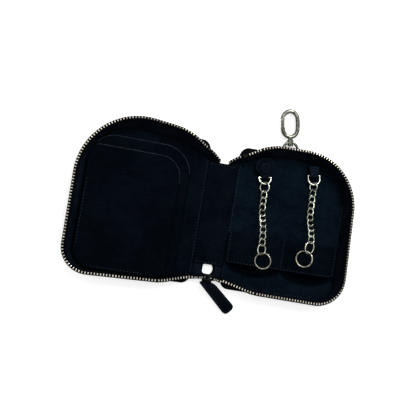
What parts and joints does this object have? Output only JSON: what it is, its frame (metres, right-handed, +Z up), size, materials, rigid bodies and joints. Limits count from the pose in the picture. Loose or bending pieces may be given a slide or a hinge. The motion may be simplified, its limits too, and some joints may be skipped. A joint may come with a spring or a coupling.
{
  "type": "key case",
  "caption": "Zip-around leather key case lying open flat: card pockets on one half, key chains over an arched band on the other, zip slider with leather pull, swivel snap hook",
  "frame": {"origin": "middle of the spine on the surface that the open case lies on", "axes": "+X to the half with the key chains, +Y to the snap hook, +Z up"},
  "size_m": [0.2025, 0.153, 0.0144],
  "materials": {
    "cover_leather": "smooth grained leather, satin",
    "suede": "napped suede, matt",
    "board": "plain stiffening board",
    "tape": "woven zip tape",
    "zip_metal": "pale polished nickel",
    "chain_metal": "pale polished nickel",
    "hook_metal": "pale polished nickel",
    "snap_metal": "dark lacquered cap",
    "pull_leather": "smooth leather with painted edges"
  },
  "bodies": {
    "spine": {"spine_cover": "cover_leather", "spine_stiffener": "board", "spine_lining": "suede", "zip_end_tapes": "tape", "zip_end_teeth": "zip_metal", "zip_bottom_stop": "zip_metal"},
    "left_half": {"cover_left": "cover_leather", "stiffener_left": "board", "lining_left": "suede", "zip_tape_left": "tape", "zip_teeth_left": "zip_metal", "top_stop_left": "zip_metal", "card_pocket_back": "suede", "card_pocket_front": "suede"},
    "right_half": {"cover_right": "cover_leather", "stiffener_right": "board", "lining_right": "suede", "zip_tape_right": "tape", "zip_teeth_right": "zip_metal", "top_stop_right": "zip_metal", "key_band": "suede", "snap_tab_base": "suede", "snap_stud": "snap_metal", "key_loop": "suede", "hook_tab": "cover_leather"},
    "slider": {"zip_slider": "zip_metal"},
    "pull_wire": {"pull_link": "zip_metal"},
    "pull": {"pull_tab": "pull_leather"},
    "snap": {"snap_flap": "suede", "snap_cap": "snap_metal", "snap_socket": "snap_metal"},
    "eye": {"hook_eye": "hook_metal"},
    "hook": {"swivel_post": "hook_metal", "hook_ring": "hook_metal", "gate_pin": "hook_metal"},
    "gate": {"hook_gate": "hook_metal", "gate_spring": "hook_metal"},
    "ring_left": {"d_ring_left": "chain_metal"},
    "chain_top_left": {"upper_jump_ring_left": "chain_metal", "chain_upper_left": "chain_metal"},
    "chain_end_left": {"chain_lower_left": "chain_metal", "lower_jump_ring_left": "chain_metal"},
    "keys_left": {"key_ring_left": "chain_metal"},
    "ring_right": {"d_ring_right": "chain_metal"},
    "chain_top_right": {"upper_jump_ring_right": "chain_metal", "chain_upper_right": "chain_metal"},
    "chain_end_right": {"chain_lower_right": "chain_metal", "lower_jump_ring_right": "chain_metal"},
    "keys_right": {"key_ring_right": "chain_metal"}
  },
  "joints": [
    {"name": "left_fold", "type": "hinge", "parent": "spine", "child": "left_half", "pos_m": [-0.01075, 0, 0.003], "axis": [0, 1, 0], "range_deg": [0, 90]},
    {"name": "right_fold", "type": "hinge", "parent": "spine", "child": "right_half", "pos_m": [0.01075, 0, 0.003], "axis": [0, -1, 0], "range_deg": [0, 90]},
    {"name": "slider_run", "type": "slide", "parent": "spine", "child": "slider", "axis": [0, 0, 1], "range_m": [0, 0.003]},
    {"name": "pull_swing", "type": "hinge", "parent": "slider", "child": "pull_wire", "pos_m": [0.0012, -0.04685, 0.0056], "axis": [0.6691, 0.7431, 0], "range_deg": [-35, 0]},
    {"name": "pull_flop", "type": "hinge", "parent": "pull_wire", "child": "pull", "pos_m": [0.00315, -0.0486, 0.00519], "axis": [0.6691, 0.7431, 0], "range_deg": [-60, 0]},
    {"name": "snap_open", "type": "hinge", "parent": "right_half", "child": "snap", "pos_m": [0.0306, 0.0332, 0.0047], "axis": [0.9877, 0.1564, 0], "range_deg": [0, 75]},
    {"name": "eye_swing", "type": "hinge", "parent": "right_half", "child": "eye", "pos_m": [0.0471, 0.0552, 0.0025], "axis": [0.986, 0.1668, 0], "range_deg": [-60, 45]},
    {"name": "hook_swivel", "type": "hinge", "parent": "eye", "child": "hook", "pos_m": [0.0471, 0.0552, 0.0025], "axis": [-0.1668, 0.986, 0], "continuous": true},
    {"name": "gate_open", "type": "hinge", "parent": "hook", "child": "gate", "pos_m": [0.03889, 0.0705, 0.0025], "axis": [0, 0, -1], "range_deg": [0, 22], "stiffness_Nm_per_rad": 0.02, "springref_deg": -5.73},
    {"name": "ring_lift_left", "type": "hinge", "parent": "right_half", "child": "ring_left", "pos_m": [0.0306, 0.0332, 0.0047], "axis": [0.9877, 0.1564, 0], "range_deg": [-55, 0]},
    {"name": "chain_swing_left", "type": "hinge", "parent": "ring_left", "child": "chain_top_left", "pos_m": [0.03101, 0.02845, 0.0062], "axis": [0.9971, 0.0767, 0], "range_deg": [-40, 0]},
    {"name": "chain_bend_left", "type": "hinge", "parent": "chain_top_left", "child": "chain_end_left", "pos_m": [0.03306, 0.00178, 0.0093], "axis": [0.793, 0.3729, 0.4819], "range_deg": [-30, 0]},
    {"name": "key_ring_swing_left", "type": "hinge", "parent": "chain_end_left", "child": "keys_left", "pos_m": [0.03486, -0.02159, 0.01175], "axis": [0.8803, 0.0677, -0.4695], "range_deg": [-60, 0]},
    {"name": "ring_lift_right", "type": "hinge", "parent": "right_half", "child": "ring_right", "pos_m": [0.0668, 0.0409, 0.0047], "axis": [0.9877, 0.1564, 0], "range_deg": [-55, 0]},
    {"name": "chain_swing_right", "type": "hinge", "parent": "ring_right", "child": "chain_top_right", "pos_m": [0.06744, 0.0342, 0.00564], "axis": [0.9981, 0.061, 0], "range_deg": [-40, 0]},
    {"name": "chain_bend_right", "type": "hinge", "parent": "chain_top_right", "child": "chain_end_right", "pos_m": [0.06904, 0.00796, 0.00519], "axis": [0.8128, 0.1301, 0.5678], "range_deg": [-30, 0]},
    {"name": "key_ring_swing_right", "type": "hinge", "parent": "chain_end_right", "child": "keys_right", "pos_m": [0.06889, -0.01558, 0.01187], "axis": [0.8773, -0.1, -0.4695], "range_deg": [-60, 0]}
  ]
}
